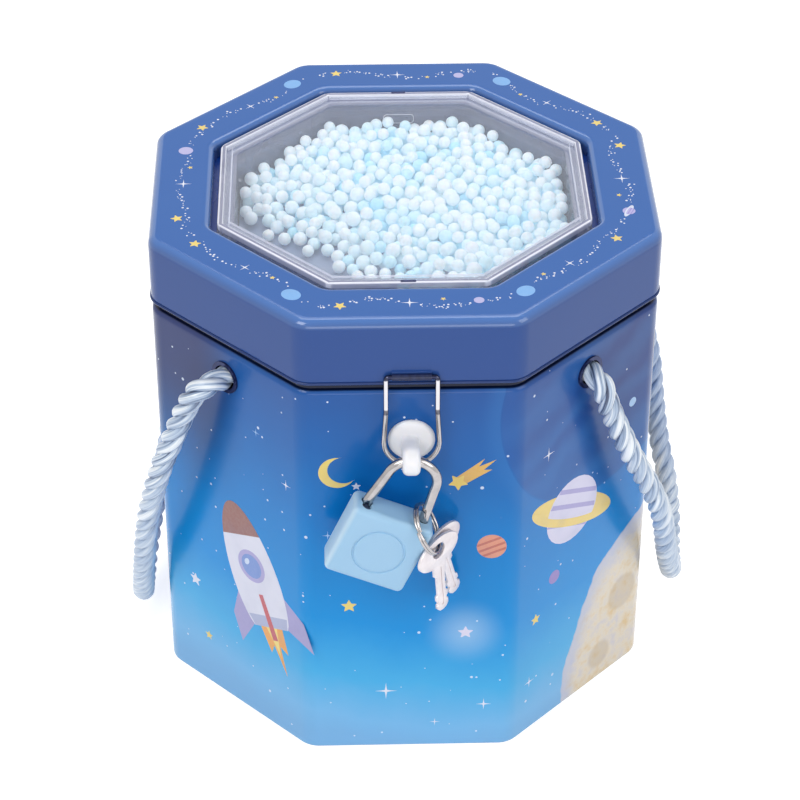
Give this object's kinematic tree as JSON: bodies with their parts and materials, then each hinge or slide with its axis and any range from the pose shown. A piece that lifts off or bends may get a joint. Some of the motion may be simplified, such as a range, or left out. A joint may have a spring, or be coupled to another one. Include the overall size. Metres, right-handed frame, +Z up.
{
  "type": "tin money box",
  "caption": "Octagonal hinged tin money box with a bead-filled window lid, wire hasp, small padlock with keys on a ring, and rope handles.",
  "frame": {"origin": "centre of the octagonal footprint, on the surface the box stands on", "axes": "+Z up; -Y towards the front, where the hasp and the padlock are; +X to the right seen from the front"},
  "size_m": [0.1814, 0.173, 0.1594],
  "materials": {
    "printed_tin": "gloss",
    "tin_inside": "satin",
    "white_plastic": "gloss",
    "steel": "polished",
    "eyelet": "satin",
    "rope": "satin",
    "clear_plastic": "gloss",
    "liner": "matte",
    "foam": "matte",
    "padlock_plastic": "satin",
    "lock_body": "matte",
    "brass": "satin",
    "key_metal": "satin"
  },
  "bodies": {
    "box": {"body_shell": "printed_tin", "base_plate": "tin_inside", "staple": "white_plastic", "staple_washer": "tin_inside", "rope_eyelets": "eyelet", "rope_knots": "rope", "left_rope": "rope", "right_rope": "rope", "body_hinge_leaf": "tin_inside", "hinge_pin": "steel"},
    "lid": {"lid_hinge_leaf": "tin_inside", "lid_shell": "printed_tin", "hasp_strap": "printed_tin", "bead_tray": "clear_plastic", "tray_liner": "liner", "foam_beads": "foam", "window_pane": "clear_plastic"},
    "hasp": {"hasp_wire": "steel"},
    "shackle": {"padlock_shackle": "steel"},
    "padlock": {"padlock_cover": "padlock_plastic", "padlock_core": "lock_body", "shackle_spring": "tin_inside"},
    "plug": {"key_plug": "brass"},
    "ring": {"split_ring": "steel"},
    "first_key": {"key_one": "key_metal"},
    "second_key": {"key_two": "key_metal"}
  },
  "joints": [
    {"name": "lid_swing", "type": "hinge", "parent": "box", "child": "lid", "pos_m": [0, 0.0769, 0.137], "axis": [-1, 0, 0], "range_deg": [0, 105]},
    {"name": "hasp_swing", "type": "hinge", "parent": "lid", "child": "hasp", "pos_m": [0.0004, -0.07595, 0.1412], "axis": [-1, 0, 0], "range_deg": [0, 150]},
    {"name": "padlock_swing", "type": "hinge", "parent": "box", "child": "shackle", "pos_m": [0, -0.0868, 0.1202], "axis": [-1, 0, 0], "range_deg": [0, 55]},
    {"name": "padlock_open", "type": "slide", "parent": "shackle", "child": "padlock", "axis": [-0.4035, 0, -0.915], "range_m": [0, 0.005]},
    {"name": "key_plug_turn", "type": "hinge", "parent": "padlock", "child": "plug", "pos_m": [-0.01211, -0.0868, 0.0852], "axis": [0.4035, 0, 0.915], "range_deg": [0, 90]},
    {"name": "ring_swing", "type": "hinge", "parent": "shackle", "child": "ring", "pos_m": [0.00332, -0.0868, 0.09862], "axis": [0.4035, 0, 0.915], "range_deg": [-4, 4]},
    {"name": "first_key_swing", "type": "hinge", "parent": "ring", "child": "first_key", "pos_m": [0.00773, -0.08756, 0.08825], "axis": [-0.7431, 0.6691, 0], "range_deg": [-6, 4]},
    {"name": "second_key_swing", "type": "hinge", "parent": "ring", "child": "second_key", "pos_m": [0.00848, -0.0842, 0.08836], "axis": [-0.7431, 0.6691, 0], "range_deg": [-4, 4]}
  ]
}
